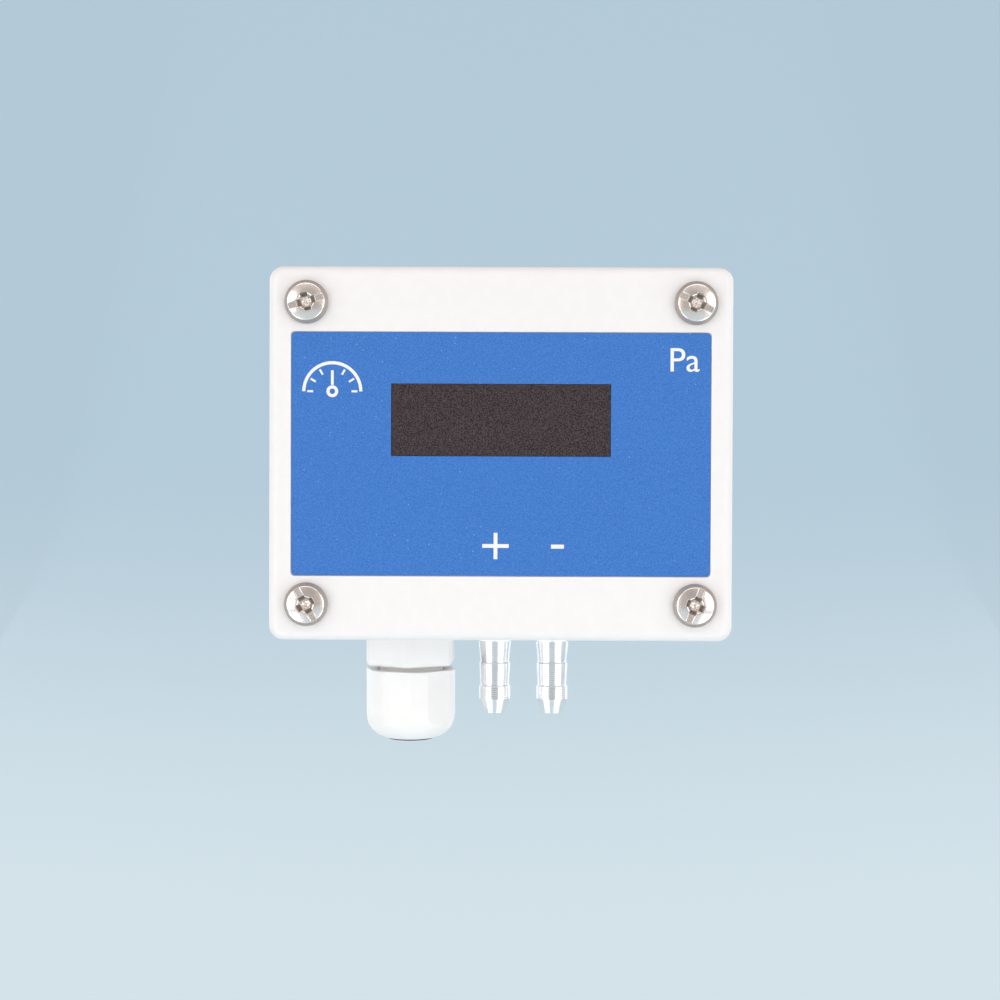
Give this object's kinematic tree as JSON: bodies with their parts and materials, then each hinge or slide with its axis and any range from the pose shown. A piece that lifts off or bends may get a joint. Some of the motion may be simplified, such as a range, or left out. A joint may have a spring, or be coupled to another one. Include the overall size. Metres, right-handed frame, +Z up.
{
  "type": "differential pressure transmitter",
  "caption": "Wall-mounted differential pressure transmitter: screwed case with a display window, cable gland, hose nozzles and the boards and sensor inside.",
  "frame": {"origin": "centre of the case's back face, which lies against the wall", "axes": "+Z up, front towards -Y, +Y into the wall, +X to the right as seen from the front"},
  "size_m": [0.102, 0.0484, 0.1079],
  "materials": {
    "case_plastic": "fine satin moulded plastic, warm white",
    "gland_plastic": "smooth moulded plastic, white",
    "label_film": "satin printed film, mid blue",
    "smoked_window": "smoked pane, almost black",
    "seal_rubber": "matt black rubber",
    "plated_screw": "nickel plated, slightly worn",
    "nozzle_aluminium": "bright turned metal",
    "plated_steel": "zinc plated",
    "board_laminate": "green lacquered laminate",
    "spacer_brass": "turned brass",
    "black_plastic": "matt black moulding",
    "sensor_plastic": "matt off-white moulding",
    "soft_tube": "translucent soft tube",
    "terminal_plastic": "green moulding",
    "capacitor_sleeve": "shrunk dark blue sleeve",
    "button_plastic": "red moulding"
  },
  "bodies": {
    "housing": {"enclosure_base": "case_plastic", "gland_body": "gland_plastic", "gland_locknut": "gland_plastic", "gland_washer": "seal_rubber", "board_screws": "plated_screw", "display_screws": "plated_screw", "terminal_screws": "plated_screw", "nozzle_positive": "nozzle_aluminium", "nozzle_negative": "nozzle_aluminium", "nozzle_washers": "plated_steel", "nozzle_nuts": "plated_steel", "main_board": "board_laminate", "display_board": "board_laminate", "display_spacers": "spacer_brass", "display_module": "black_plastic", "display_header": "black_plastic", "controller_chip": "black_plastic", "zero_switch": "black_plastic", "pressure_sensor": "sensor_plastic", "sensor_tube_positive": "soft_tube", "sensor_tube_negative": "soft_tube", "terminal_block": "terminal_plastic", "capacitors": "capacitor_sleeve"},
    "lid": {"enclosure_lid": "case_plastic", "lid_gasket": "seal_rubber", "front_label": "label_film", "display_window": "smoked_window"},
    "screw_top_left": {"lid_screw_top_left": "plated_screw"},
    "screw_top_right": {"lid_screw_top_right": "plated_screw"},
    "screw_bottom_left": {"lid_screw_bottom_left": "plated_screw"},
    "screw_bottom_right": {"lid_screw_bottom_right": "plated_screw"},
    "gland_insert": {"gland_claw": "gland_plastic", "gland_seal": "seal_rubber"},
    "gland_cap": {"gland_nut": "gland_plastic"},
    "zero_key": {"zero_button": "button_plastic"}
  },
  "joints": [
    {"name": "lid_lift", "type": "slide", "parent": "housing", "child": "lid", "axis": [0, -1, 0], "range_m": [0, 0.04]},
    {"name": "screw_top_left_turn", "type": "hinge", "parent": "lid", "child": "screw_top_left", "pos_m": [-0.04265, -0.046, 0.0331], "axis": [0, -1, 0], "continuous": true},
    {"name": "screw_top_right_turn", "type": "hinge", "parent": "lid", "child": "screw_top_right", "pos_m": [0.04265, -0.046, 0.0331], "axis": [0, -1, 0], "continuous": true},
    {"name": "screw_bottom_left_turn", "type": "hinge", "parent": "lid", "child": "screw_bottom_left", "pos_m": [-0.04265, -0.046, -0.0331], "axis": [0, -1, 0], "continuous": true},
    {"name": "screw_bottom_right_turn", "type": "hinge", "parent": "lid", "child": "screw_bottom_right", "pos_m": [0.04265, -0.046, -0.0331], "axis": [0, -1, 0], "continuous": true},
    {"name": "gland_travel", "type": "slide", "parent": "housing", "child": "gland_insert", "axis": [0, 0, -1], "range_m": [-0.00095, 0.0062]},
    {"name": "gland_turn", "type": "hinge", "parent": "gland_insert", "child": "gland_cap", "pos_m": [-0.02115, -0.0165, -0.06], "axis": [0, 0, -1], "range_deg": [-216, 1440]},
    {"name": "zero_press", "type": "slide", "parent": "housing", "child": "zero_key", "axis": [0, 1, 0], "range_m": [0, 0.0003], "stiffness_N_per_m": 3000}
  ],
  "couplings": [
    {"joint": "gland_travel", "follows": "gland_turn", "m_per_rad": 0.00023873}
  ]
}
